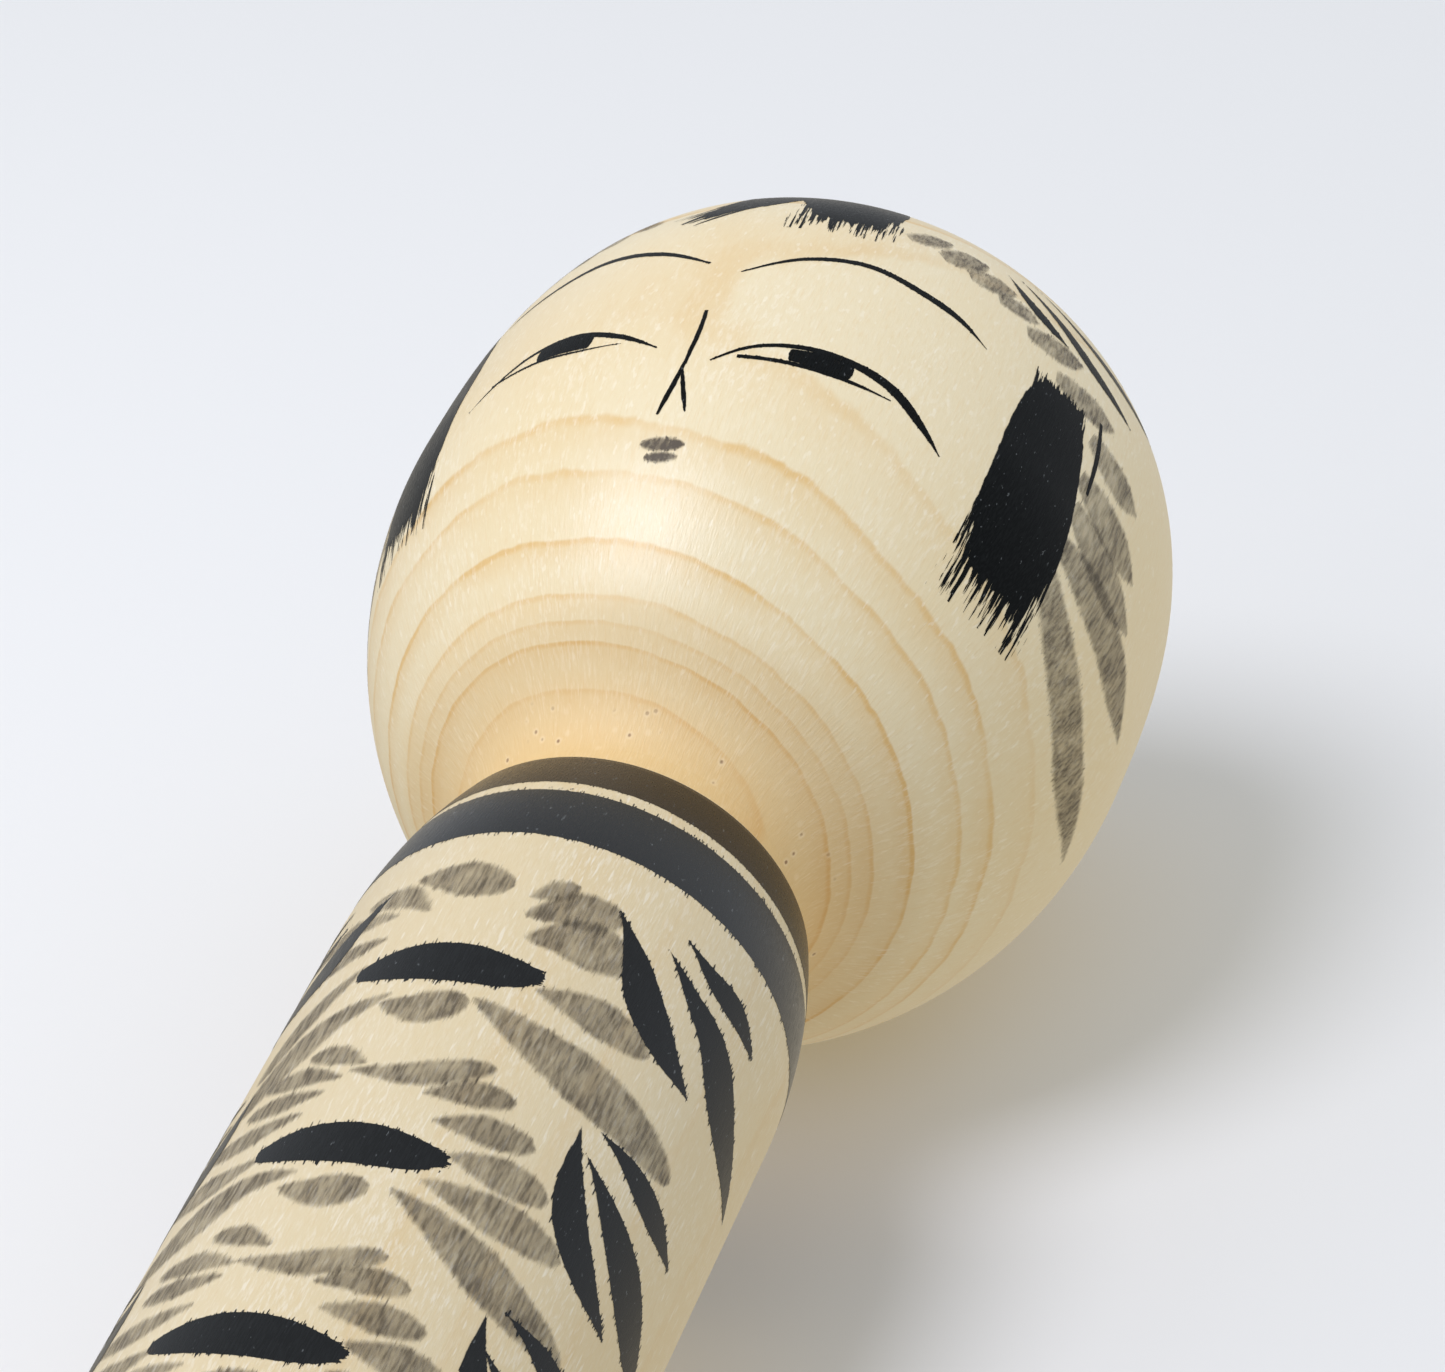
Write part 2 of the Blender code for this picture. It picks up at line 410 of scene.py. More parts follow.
class Layer:
    """All the marks of one kind on one piece, gathered into one skin."""

    def __init__(self, side, lift):
        self.side = side
        self.lift = lift
        self.points, self.faces = [], []
        self.cover, self.bleed, self.ragged, self.uv, self.load = [], [], [], [], []
        self.count = 0

    def grid(self, turn, down, cover, bleed, ragged, across, along, load, closed=False):
        """Adds a mark from arrays of shape (along, across). cover is above a half inside the mark,
        bleed and ragged say how far its edge creeps and tears, and load how much ink it holds."""
        rows, columns = turn.shape
        lift = self.lift + LIFT_STEP * self.count
        points = self.side.points(turn, down, lift).reshape(-1, 3)
        first = sum(len(p) for p in self.points)
        for i in range(rows if closed else rows - 1):
            n = (i + 1) % rows
            for j in range(columns - 1):
                a, b = first + i * columns + j, first + n * columns + j
                self.faces.append((a, b, b + 1, a + 1))
        self.points.append(points)
        self.cover.append(cover.ravel())
        self.bleed.append(bleed.ravel())
        self.ragged.append(ragged.ravel())
        self.load.append(load.ravel())
        self.uv.append(np.stack([across.ravel(), along.ravel()], axis=1))
        self.count += 1

    def stroke(self, places, width, blunt=(0, 0), load=(1, 1), spacing=STROKE_SPACING, feather=FEATHER):
        """A brush mark along a path. width gives its half width in millimetres from 0 to 1 along it.
        blunt says how ragged the start and the end are, from 0 for a clean point to 1 or more."""
        turn, down, along = smooth_path(places, spacing, self.side)
        half = np.maximum(width(along / along[-1]), 0)
        radius = np.maximum(self.side.radius(down), 1)
        run = np.radians(np.gradient(turn)) * radius
        drop = np.gradient(down)
        size = np.hypot(run, drop)
        run, drop = run / size, drop / size

        shares = np.linspace(-1, 1, 2 * max(2, int(half.max() / COLUMN_WIDTH)) + 1)
        inside = half[:, None] * shares
        reach = (half + feather)[:, None]
        offset = np.hstack([-reach, inside, reach])
        cover = np.pad(0.5 + (half[:, None] - np.abs(inside)) / (2 * feather), ((0, 0), (1, 1)))
        rag = np.zeros_like(half)
        for amount, from_end in zip(blunt, (along, along[-1] - along)):
            torn = amount * np.clip(1 - from_end / (RAG_REACH * max(amount, 0.1)), 0, 1)
            rag = np.maximum(rag, torn)
            if any(blunt):
                run_out = max(0.02, RUN_OUT * amount)
                cover = np.minimum(cover, np.clip(from_end / run_out, 0, FULL_COVER)[:, None])

        def spread(values):
            return np.broadcast_to(values[:, None], offset.shape)

        self.grid(
            turn=turn[:, None] + np.degrees(offset * -drop[:, None] / radius[:, None]),
            down=down[:, None] + offset * run[:, None],
            cover=cover,
            bleed=spread(np.abs(run)),
            ragged=spread(rag),
            across=offset,
            along=spread(along) + BRISTLE_SHIFT * self.count,
            load=spread(np.linspace(*load, len(along))),
        )

    def band(self, top, bottom):
        """A painted ring round the piece between two heights, laid on as the piece spins."""
        top_down, bottom_down = self.side.down(top), self.side.down(bottom)
        inside = np.linspace(top_down, bottom_down, BAND_ROWS)
        places = np.array([top_down - BAND_FEATHER, *inside, bottom_down + BAND_FEATHER])
        places = places[places >= 0]
        turn, down = np.meshgrid(np.arange(0.0, 360.0), places, indexing="ij")
        half = (bottom_down - top_down) / 2
        cover = 0.5 + (half - np.abs(down - (top_down + bottom_down) / 2)) / (2 * BAND_FEATHER)
        full = np.ones_like(turn)
        self.grid(turn, down, cover, full, 0 * full, down, turn, full, closed=True)

    def build(self, name, body, material):
        """Makes one piece of all the marks, with what the material needs to know on its points."""
        obj = mesh_object(name, np.concatenate(self.points), self.faces, body)
        mesh = obj.data
        for key in ("cover", "bleed", "ragged", "load"):
            values = np.concatenate(getattr(self, key)).astype(np.float32)
            mesh.attributes.new(key, "FLOAT", "POINT").data.foreach_set("value", values)
        layer = mesh.uv_layers.new(name="stroke")
        corner = np.empty(len(mesh.loops), np.int32)
        mesh.loops.foreach_get("vertex_index", corner)
        layer.data.foreach_set("uv", np.concatenate(self.uv)[corner].astype(np.float32).ravel())
        mesh.materials.append(material)


def mirrored(places):
    return [(-turn, height) for turn, height in places]


def above(base, places):
    return [(turn, base + height) for turn, height in places]


# ---------------------------------------------------------------- node helpers


class Nodes:
    """Short names for the nodes that a material or a world is made of."""

    def __init__(self, owner):
        owner.use_nodes = True
        self.tree = owner.node_tree

    def new(self, kind, **settings):
        node = self.tree.nodes.new(kind)
        for key, value in settings.items():
            setattr(node, key, value)
        return node

    def put(self, socket, value):
        """Links an output to a socket, or sets a plain value. A colour is three numbers."""
        if isinstance(value, bpy.types.NodeSocket):
            self.tree.links.new(value, socket)
        elif socket.type == "RGBA":
            socket.default_value = (*value, 1.0)
        else:
            socket.default_value = value

    def math(self, operation, a, b=0.0):
        node = self.new("ShaderNodeMath", operation=operation)
        self.put(node.inputs[0], a)
        self.put(node.inputs[1], b)
        return node.outputs[0]

    def plus(self, first, *rest):
        for value in rest:
            first = self.math("ADD", first, value)
        return first

    def times(self, first, *rest):
        for value in rest:
            first = self.math("MULTIPLY", first, value)
        return first

    def ramp(self, value, low, high, to_low=0.0, to_high=1.0, kind="SMOOTHSTEP"):
        """Carries the range from low to high over to another one, and stops at its ends."""
        node = self.new("ShaderNodeMapRange", interpolation_type=kind)
        ends = {"From Min": low, "From Max": high, "To Min": to_low, "To Max": to_high}
        for key, item in {"Value": value, **ends}.items():
            self.put(node.inputs[key], item)
        return node.outputs["Result"]

    def split(self, vector):
        """The X, Y and Z of a vector, by name."""
        node = self.new("ShaderNodeSeparateXYZ")
        self.put(node.inputs[0], vector)
        return node.outputs

    def join(self, **values):
        node = self.new("ShaderNodeCombineXYZ")
        for key, value in values.items():
            self.put(node.inputs[key], value)
        return node.outputs[0]

    def scaled(self, vector, across, along, offset=(0, 0, 0)):
        """Coordinates scaled by one number across the fibres and another along them."""
        node = self.new("ShaderNodeMapping")
        self.put(node.inputs["Vector"], vector)
        self.put(node.inputs["Scale"], (across, across, along))
        self.put(node.inputs["Location"], offset)
        return node.outputs["Vector"]

    def place(self, across=1.0, along=1.0, offset=(0, 0, 0)):
        """Coordinates of the piece in millimetres, scaled across and along its fibres."""
        coordinates = self.new("ShaderNodeTexCoord").outputs["Object"]
        return self.scaled(coordinates, across / MM, along / MM, offset)

    def down_the_side(self):
        """Coordinates in millimetres that follow the wood's surface: round the axis at a middle
        radius, and down the side."""
        place = self.split(self.new("ShaderNodeTexCoord").outputs["Object"])
        unit = self.new("ShaderNodeVectorMath", operation="NORMALIZE")
        self.put(unit.inputs[0], self.join(X=place["X"], Y=place["Y"]))
        around = self.split(unit.outputs[0])
        x, y = self.times(around["X"], GRAIN_RADIUS), self.times(around["Y"], GRAIN_RADIUS)
        return self.join(X=x, Y=y, Z=self.attribute("down"))

    def down_the_stroke(self, across, along):
        """Coordinates in millimetres across and along a brush mark, scaled."""
        node = self.new("ShaderNodeMapping")
        self.put(node.inputs["Vector"], self.new("ShaderNodeUVMap", uv_map="stroke").outputs["UV"])
        self.put(node.inputs["Scale"], (across, along, 1))
        return node.outputs["Vector"]

    def attribute(self, name):
        return self.new("ShaderNodeAttribute", attribute_name=name).outputs["Fac"]

    def noise(self, vector, detail=2.0, roughness=0.5):
        node = self.new("ShaderNodeTexNoise")
        self.put(node.inputs["Vector"], vector)
        self.put(node.inputs["Scale"], 1.0)
        self.put(node.inputs["Detail"], detail)
        self.put(node.inputs["Roughness"], roughness)
        return node.outputs["Fac"]

    def mix(self, factor, a, b, blend="MIX"):
        node = self.new("ShaderNodeMix", data_type="RGBA", blend_type=blend)
        self.put(node.inputs["Factor"], factor)
        for key, value in (("A", a), ("B", b)):
            self.put([s for s in node.inputs if s.name == key and s.type == "RGBA"][0], value)
        return [s for s in node.outputs if s.type == "RGBA"][0]

    def either(self, factor, first, second):
        """The first shader where the factor is 0, and the second where it is 1."""
        node = self.new("ShaderNodeMixShader")
        for socket, value in zip(node.inputs, (factor, first, second)):
            self.put(socket, value)
        return node.outputs[0]

    def bump(self, height, distance, strength):
        node = self.new("ShaderNodeBump")
        self.put(node.inputs["Height"], height)
        self.put(node.inputs["Distance"], distance * MM)
        self.put(node.inputs["Strength"], strength)
        return node.outputs["Normal"]


class Surface(Nodes):
    """A new material round one shader, whose inputs `look` sets or links."""

    def __init__(self, name):
        self.material = bpy.data.materials.new(name)
        super().__init__(self.material)
        self.shader = self.tree.nodes["Principled BSDF"]

    def look(self, name, value):
        self.put(self.shader.inputs[name], value)


# ---------------------------------------------------------------- materials

CREAM = (0.80, 0.685, 0.445)
WARM = (0.77, 0.62, 0.35)
AMBER = (0.71, 0.47, 0.18)
FLECK = (0.95, 0.89, 0.74)
PIT = (0.20, 0.10, 0.05)
# deeper colour of the end grain, which under the head also stands for painted shade and painted warm
# bounce light
END_GRAIN_AND_SHADE = (0.95, 0.79, 0.56)
BLACK_INK = (0.0035, 0.0042, 0.0042)
# black ink whose brown is a painted reflection of the head's wood above the neck band
INK_BROWN_PAINTED_REFLECTION = (0.018, 0.010, 0.004)
GREY_INK = (0.075, 0.054, 0.030)
# pale specks in the ink: painted glints, with a little dust
INK_DUST_AND_GLINT = (0.30, 0.32, 0.32)
WAX_IOR = 1.5
WASH_IOR = 1.45

GRAIN_RADIUS = 28.0  # where the grain that runs round the wood has its true size, in millimetres
RING_WANDER = 0.7  # how far a growth ring strays from a circle, in millimetres
RING_RIPPLE = 0.25  # how high its small waves are
RING_TONE = 2.1  # over which the wood darkens softly towards a ring's line
RING_LINE = (0.42, 0.05)  # from the line's start, and from its full tone, to its outer edge
RING_EDGE = 0.22  # over which the line ends
# Growth rings: the radius of each dark line in millimetres, and its strength
HEAD_RINGS = {17.5: 0.5, 21.2: 0.8, 22.9: 0.5, 24.8: 0.6, 28.2: 1.0, 31.8: 0.7, 34.1: 0.8, 37: 0.4}
BODY_RINGS = {6: 0.6, 9.5: 0.7, 12: 0.5, 15.5: 0.8, 18.5: 0.6, 22: 0.7, 25.5: 0.6, 28: 0.6}


def growth_lines(n, place, pith, rings):
    """How dark the growth rings round the pith are, from 0 to about 1 on a strong line."""
    dx = n.math("SUBTRACT", place["X"], pith[0])
    dy = n.math("SUBTRACT", place["Y"], pith[1])
    distance = n.math("SQRT", n.plus(n.times(dx, dx), n.times(dy, dy)))
    for coordinates, reach in ((n.place(0.05, 0.02), RING_WANDER), (n.place(0.35, 0.12), RING_RIPPLE)):
        distance = n.plus(distance, n.ramp(n.noise(coordinates), 0, 1, -reach, reach, kind="LINEAR"))
    dark = 0.0
    for radius, strength in rings.items():
        soft = n.ramp(distance, radius - RING_TONE, radius, 0, 0.50 * strength)
        crisp = n.ramp(distance, radius - RING_LINE[0], radius - RING_LINE[1], 0, 0.60 * strength)
        inner_side = n.ramp(distance, radius, radius + RING_EDGE, 1, 0)
        dark = n.math("MAXIMUM", dark, n.times(n.plus(soft, crisp), inner_side))
    patchy = n.noise(n.place(0.12, 0.04, (3, 7, 1)), detail=3.0)
    return n.times(dark, n.ramp(patchy, 0.3, 0.7, 0.45, 1.0))


def end_grain_pits(n, end_grain_and_shade, strength):
    """Pores in patches of the end grain: how much of the dark pit shows, and of the pale rim."""
    pore = n.new("ShaderNodeTexVoronoi", feature="F1")
    n.put(pore.inputs["Vector"], n.place(0.62, 0.5))
    n.put(pore.inputs["Scale"], 1.0)
    from_pore = pore.outputs["Distance"]
    patches = n.ramp(n.noise(n.place(0.16, 0.05, (9, 4, 2)), detail=1.0), 0.42, 0.50)
    patches = n.times(patches, n.ramp(end_grain_and_shade, 0.55, 0.9))
    pit = n.times(n.ramp(from_pore, 0.06, 0.17, 1, 0), patches, strength)
    rim = n.times(n.ramp(from_pore, 0.14, 0.34, 1, 0), patches, strength * 0.5)
    return pit, rim


def wood(name, pith, rings, ring_strength, pit_strength, fleck_strength, dash_step, tint, end_grain_and_shade_heights):
    """Waxed pale wood. Its fibres run along Z and its growth rings stand round the pith. dash_step
    is how fast the pale dashes follow each other down the side. The last argument gives the heights
    between which the colour deepens: where the tool has cut across the fibres, and under the head
    also as painted shade and painted warm bounce light in the hollow by the neck."""
    n = Surface(name)
    place = n.split(n.place())
    tone = n.noise(n.place(0.045, 0.018, (11, 2, 5)))
    colour = n.mix(n.ramp(tone, 0.35, 0.7, 0.05, 0.55), CREAM, WARM)
    colour = n.mix(n.times(growth_lines(n, place, pith, rings), ring_strength), colour, AMBER)

    side = n.down_the_side()
    fibre = n.noise(n.scaled(side, 3.1, 0.62), detail=3.0, roughness=0.65)
    few = n.ramp(n.noise(n.place(0.10, 0.06, (6, 6, 2))), 0.35, 0.65, 0.3, 1.0)
    colour = n.mix(n.times(n.ramp(fibre, 0.48, 0.66), few, fleck_strength), colour, FLECK)
    thread = n.noise(n.scaled(side, 6, 0.5))
    colour = n.mix(n.ramp(thread, 0.50, 0.75, 0, 0.20), colour, AMBER)
    mottle = n.noise(n.scaled(side, 1.5, 0.7), detail=3.0, roughness=0.7)
    colour = n.mix(n.ramp(mottle, 0.45, 0.70, 0, 0.22), colour, WARM)
    dash = n.noise(n.scaled(side, 2.5, dash_step, (4, 9, 1)), detail=1.0)
    colour = n.mix(n.ramp(dash, 0.64, 0.74, 0, fleck_strength), colour, FLECK)

    # The colour deepens towards the end grain; under the head this is also painted shade and painted warm
    # bounce light by the neck
    end_grain_and_shade = n.ramp(place["Z"], *end_grain_and_shade_heights)
    pit, rim = end_grain_pits(n, end_grain_and_shade, pit_strength)
    colour = n.mix(rim, colour, FLECK)
    colour = n.mix(pit, colour, PIT)
    colour = n.mix(1.0, colour, tint, "MULTIPLY")
    n.look("Base Color", n.mix(end_grain_and_shade, colour, n.mix(1.0, colour, END_GRAIN_AND_SHADE, "MULTIPLY")))
    n.look("Roughness", n.plus(n.ramp(fibre, 0.3, 0.75, 0.29, 0.42), n.times(end_grain_and_shade, 0.28)))
    grain = n.math("SUBTRACT", n.plus(fibre, n.times(thread, 0.5)), n.times(pit, 1.5))
    n.look("Normal", n.bump(grain, 0.05, 0.8))
    n.look("IOR", WAX_IOR)
    return n.material


def mark_edge(n, wobble, whisker, dry, softness):
    """Where a mark covers the wood, from 0 to 1: its edge wavers, bleeds along the fibres and
    breaks into bristles at a ragged end."""
    slow = n.noise(n.place(1.6, 0.9, (2, 2, 2)))
    wavering = n.ramp(slow, 0.2, 0.8, -wobble, wobble, kind="LINEAR")
    fibre = n.noise(n.place(5.0, 0.45, (7, 1, 3)), detail=1.0)
    creep = n.times(n.ramp(fibre, 0.52, 0.80, -0.02, whisker), n.attribute("bleed"))
    bristle = n.noise(n.down_the_stroke(2.4, 0.10), detail=3.0, roughness=0.7)
    torn = n.times(n.ramp(bristle, 0.35, 0.68, -dry, dry * 0.4), n.attribute("ragged"))
    cover = n.plus(n.attribute("cover"), wavering, creep, torn)
    return n.ramp(cover, 0.5 - softness, 0.5 + softness)


def ink(name, whisker, gloss, colour=BLACK_INK, dry=1.2, thin=0.0):
    """Dark ink under wax, with fine pits along the fibres and pale specks painted into its colour, which
    are painted glints and a little dust. whisker says how far it creeps along them, dry how torn its
    ragged ends are and thin how much wood shows through."""
    n = Surface(name)
    edge = mark_edge(n, wobble=0.05, whisker=whisker, dry=dry, softness=0.035)
    fibre = n.noise(n.place(5.5, 0.6, (1, 8, 4)))
    # pale specks painted into the ink's colour: painted glints, with a little dust
    dust_and_glint = n.ramp(n.noise(n.place(3.0, 1.2, (4, 4, 4))), 0.69, 0.74)
    tone = n.mix(n.ramp(fibre, 0.4, 0.8), colour, tuple(c * 1.7 + 0.002 for c in colour))
    n.look("Base Color", n.mix(n.times(dust_and_glint, 0.3), tone, INK_DUST_AND_GLINT))
    n.look("Specular IOR Level", gloss)
    n.look("Roughness", n.ramp(fibre, 0.3, 0.75, 0.24, 0.36))
    n.look("Alpha", n.times(edge, n.ramp(fibre, 0.30, 0.50, 1.0 - thin, 1.0)))
    n.look("Normal", n.bump(fibre, 0.03, 0.45))
    n.look("IOR", WAX_IOR)
    return n.material


def wash(name, strength):
    """Thin grey ink, which soaks in along the fibres and leaves darker streaks."""
    n = Surface(name)
    edge = mark_edge(n, wobble=0.12, whisker=0.35, dry=0.9, softness=0.30)
    fibre = n.noise(n.place(2.6, 0.34, (6, 3, 9)), roughness=0.6)
    streak = n.ramp(fibre, 0.36, 0.72, 0.76, 1.38)
    pool = n.ramp(n.noise(n.place(0.40, 0.22, (1, 5, 2))), 0.3, 0.7, 0.72, 1.2)
    amount = n.math("MINIMUM", n.times(pool, strength, streak, n.attribute("load")), 0.92)
    n.look("Base Color", GREY_INK)
    n.look("Roughness", n.ramp(fibre, 0.3, 0.75, 0.36, 0.48))
    n.look("Alpha", n.times(edge, amount))
    n.look("IOR", WASH_IOR)
    return n.material


# ---------------------------------------------------------------- painting: the face

# Heights on the head are counted from its widest ring
BROW_RIGHT = [(1, 8), (9, 12), (18, 13.8), (27, 12.8), (34, 11.6), (39, 9.8)]
BROW_LEFT = [(-4.5, 9.6), (-14, 12.8), (-24.5, 14.6), (-35, 13.8), (-47, 12.5)]
LID_RIGHT = [(3.2, -7.8), (8, -5.1), (15, -3.4), (22.5, -3.2), (29, -4.1), (35.5, -6.7), (40, -8.8)]
LID_LEFT = [(-5.6, -6.2), (-13, -3.6), (-21.5, -1.8), (-28.5, -2.3), (-35, -4.6), (-39.5, -6.6)]
UNDER_RIGHT = [(6.8, -6.7), (13, -6.2), (21, -5.9), (30, -5.8)]
UNDER_LEFT = [(-11.8, -5.0), (-18.5, -4.9), (-26.5, -4.3), (-35.5, -4.4)]
IRIS_RIGHT = [(13.6, -4.9), (18.5, -4.6), (23.6, -4.6)]
IRIS_LEFT = [(-27.2, -3.2), (-22.0, -3.2), (-17.0, -3.7)]
NOSE_STEM = [(-0.8, 0.3), (-0.3, -3), (-0.3, -8.6)]
NOSE_LEFT = [(-0.3, -8.0), (-0.8, -11.6), (-1.9, -15.7)]
NOSE_RIGHT = [(-0.5, -9.0), (0.8, -11.8), (2.7, -15.4)]
LIP_UPPER = [(-3.2, -19.0), (0.5, -18.9), (4.1, -18.7)]
LIP_LOWER = [(-2.0, -20.5), (0.8, -20.3), (3.5, -20.1)]


def paint_face(ink_material, mouth_material):
    face = Layer(HEAD, INK_LIFT)
    for path, width in (
        (BROW_RIGHT, through(0.10, 0.30, 0.40, 0.46, 0.50, 0.05)),
        (BROW_LEFT, through(0.15, 0.40, 0.44, 0.30, 0.02)),
        (LID_RIGHT, through(0.12, 0.26, 0.36, 0.50, 0.62, 0.55, 0.06)),
        (LID_LEFT, through(0.10, 0.36, 0.42, 0.30, 0.20, 0.03)),
        (UNDER_RIGHT, through(0.26, 0.30, 0.28, 0.08)),
        (UNDER_LEFT, through(0.05, 0.16, 0.20, 0.12)),
        (NOSE_STEM, through(0.20, 0.24, 0.20)),
    ):
        face.stroke(above(WIDEST, path), width, spacing=0.35, feather=FINE_FEATHER)
    fine = {"spacing": FINE_SPACING, "feather": FINE_FEATHER}
    face.stroke(above(WIDEST, NOSE_LEFT), through(0.16, 0.28, 0.24), blunt=(0, 0.35), **fine)
    face.stroke(above(WIDEST, NOSE_RIGHT), through(0.12, 0.24, 0.22), blunt=(0, 0.35), **fine)
    for path in (IRIS_RIGHT, IRIS_LEFT):
        face.stroke(above(WIDEST, path), through(0.9, 1.15, 1.05), blunt=(0.12, 0.12), **fine)
    face.build("face_ink", "head", ink_material)
    mouth = Layer(HEAD, INK_LIFT)
    soft = {"spacing": FINE_SPACING, "feather": 0.5}
    mouth.stroke(above(WIDEST, LIP_UPPER), boat(0.72, 0.05, 0.05), **soft)
    mouth.stroke(above(WIDEST, LIP_LOWER), boat(0.52, 0.05, 0.02), load=(1.1, 0.8), **soft)
    mouth.build("mouth_ink", "head", mouth_material)


# ---------------------------------------------------------------- painting: the hair

# Heights are counted from the head's widest ring, and a number after a path is its half width
LOCK_RIGHT = [(52.3, 14.2), (54.2, 2), (56.4, -9), (59, -20.5)]
LOCK_STRAY = [(60.9, 15.2), (62.4, 10), (63.4, 4)]
LOCK_LEFT = [(-51.5, 14.2), (-52, 2), (-53.5, -8), (-56.5, -18)]
FRINGE_LEFT = [(-30, 44.3), (-6, 41), (-4, 34), (-4, 29.0), (-9, 24.5), (-15, 20.6)]
FRINGE_RIGHT = [(30, 44.3), (9, 41.5), (8, 36), (10, 29), (11.5, 19)]
SIDE_PETALS = [
    ([(21, 23), (24, 24.6), (27.5, 26.5)], 1.1),
    ([(27, 21.8), (30, 23.5), (34, 25.8)], 1.5),
    ([(32, 20.8), (35.5, 22), (40, 23.3)], 1.4),
    ([(37.5, 19.8), (41, 20.6), (45, 20.8)], 1.1),
    ([(43.5, 17.6), (48, 18.6), (54.5, 20.8)], 1.4),
    ([(50.5, 14.6), (56.5, 15.2), (64, 16.8)], 1.5),
    ([(60, 11.5), (66, 11), (74.5, 11.4)], 1.8),
    ([(61, 5), (69, 4.4), (80, 4.4)], 2.2),
    ([(62, 0.6), (72, -1), (84, -0.5)], 2.3),
    ([(63, -5), (77, -5), (98, -6)], 2.4),
    ([(61, -8), (70, -12), (80, -14.6), (91, -16.2), (112, -15)], 2.1),
]
CROWN_LEAVES = [
    ([(37.5, 27), (42, 24), (46, 22.4), (51, 21.3)], 0.9),
    ([(39.5, 28.5), (48, 25.3), (56, 22.6), (67.5, 21.1)], 1.0),
    ([(43, 30), (55, 27.5), (66, 27), (77, 28)], 0.8),
]


CROWN_FAN_STEP = 22  # degrees
CROWN_FAN = range(42, 180, CROWN_FAN_STEP)  # degrees round from the face, and mirrored
CROWN_FAN_REACH = (8, 17, 27)  # millimetres from the axis
CROWN_INK_REACH = (13, 20, 26)


def over(radius):
    """The height of the crown at a distance from the axis, in millimetres."""
    share = (1 - (radius / HEAD_RADIUS) ** CROWN_FULLNESS) ** (1 / CROWN_FULLNESS)
    return WIDEST + CROWN_HEIGHT * share


def paint_hair(ink_material):
    hair = Layer(HEAD, INK_LIFT)
    lock = through(3.4, 5.2, 5.9, 5.7)
    stray = through(0.22, 0.34, 0.2)
    fringe_left = through(2.6, 4.4, 4.8, 4.4, 3.2, 1.8)
    fringe_right = through(2.6, 4.6, 4.9, 5.6, 5.2)
    hair.stroke(above(WIDEST, LOCK_RIGHT), lock, blunt=(0.8, 1.7))
    hair.stroke(above(WIDEST, LOCK_STRAY), stray, spacing=FINE_SPACING, feather=FINE_FEATHER)
    hair.stroke(above(WIDEST, LOCK_LEFT), lock, blunt=(0.8, 1.5))
    hair.stroke(above(WIDEST, FRINGE_LEFT), fringe_left, blunt=(0.5, 1.2))
    hair.stroke(above(WIDEST, FRINGE_RIGHT), fringe_right, blunt=(0.5, 1.5))
    hair.build("hair_ink", "head", ink_material)


def paint_crown(ink_material, wash_material):
    """The petals beside the hair, the same on both sides, and the fan that joins them at the back."""
    petals = Layer(HEAD, WASH_LIFT)
    leaves = Layer(HEAD, CROWN_LEAF_LIFT)
    for flip in (lambda p: p, mirrored):
        for path, width in SIDE_PETALS:
            petals.stroke(above(WIDEST, flip(path)), dab(1.28 * width), load=(0.85, 1.1))
        for path, width in CROWN_LEAVES:
            leaves.stroke(above(WIDEST, flip(path)), leaf(width, 0.6))
    for turn in CROWN_FAN:
        for side in (1, -1):
            petals.stroke([(side * turn, over(r)) for r in CROWN_FAN_REACH], petal(2.5), load=(0.8, 1.0))
            between = side * (turn + CROWN_FAN_STEP / 2)
            leaves.stroke([(between, over(r)) for r in CROWN_INK_REACH], leaf(0.8, 0.6))
    petals.build("crown_wash", "head", wash_material)
    leaves.build("crown_leaves", "head", ink_material)


# ---------------------------------------------------------------- painting: the body

NECK_BAND = (BODY_TOP + 0.2, 141.8)
SHOULDER_BAND = (140.0, 131.5)
FOOT_BAND = (10.0, 4.5)
FLOWERS = [110.8, 83.8, 57.0, 30.3]  # heights of their hearts
# The paths below are counted from a flower's heart, and a number after a path is its half width
HEART = [(-26.3, -0.6), (-12, 0.1), (0, 0.1), (12, -0.1), (21.8, 0.6)]
PETALS = [
    ([(-12, 10.8), (2, 10.4), (21, 14)], 1.5),
    ([(8, 8.1), (17, 9.6), (28.5, 10.8)], 1.5),
    ([(13, 5.0), (24, 5.8), (37, 6.9)], 1.7),
    ([(20, 1.2), (32.5, 1.7), (45, 2.3)], 2.0),
    ([(17, -2.9), (32, -3.2), (54, -2.6)], 2.2),
    ([(12, -5.0), (27, -7.9), (45, -10.9), (66, -12)], 2.6),
    ([(-8.6, 11.6), (-18, 13.4), (-26, 14.2)], 1.2),
    ([(-13, 9.8), (-25, 10.9), (-37, 11.4)], 1.3),
    ([(-15.5, 7.8), (-26, 7.4), (-39, 8)], 1.3),
    ([(-18.5, 4.9), (-32.5, 3.4), (-48, 4)], 1.5),
    ([(-24, -0.9), (-34, -2.2), (-55, -1.5)], 1.8),
    ([(-11, -4.0), (-24, -5.2), (-38, -9), (-56, -13)], 2.4),
    ([(-14, -6.3), (-3, -6.9), (7.5, -5.3)], 2.0),
]
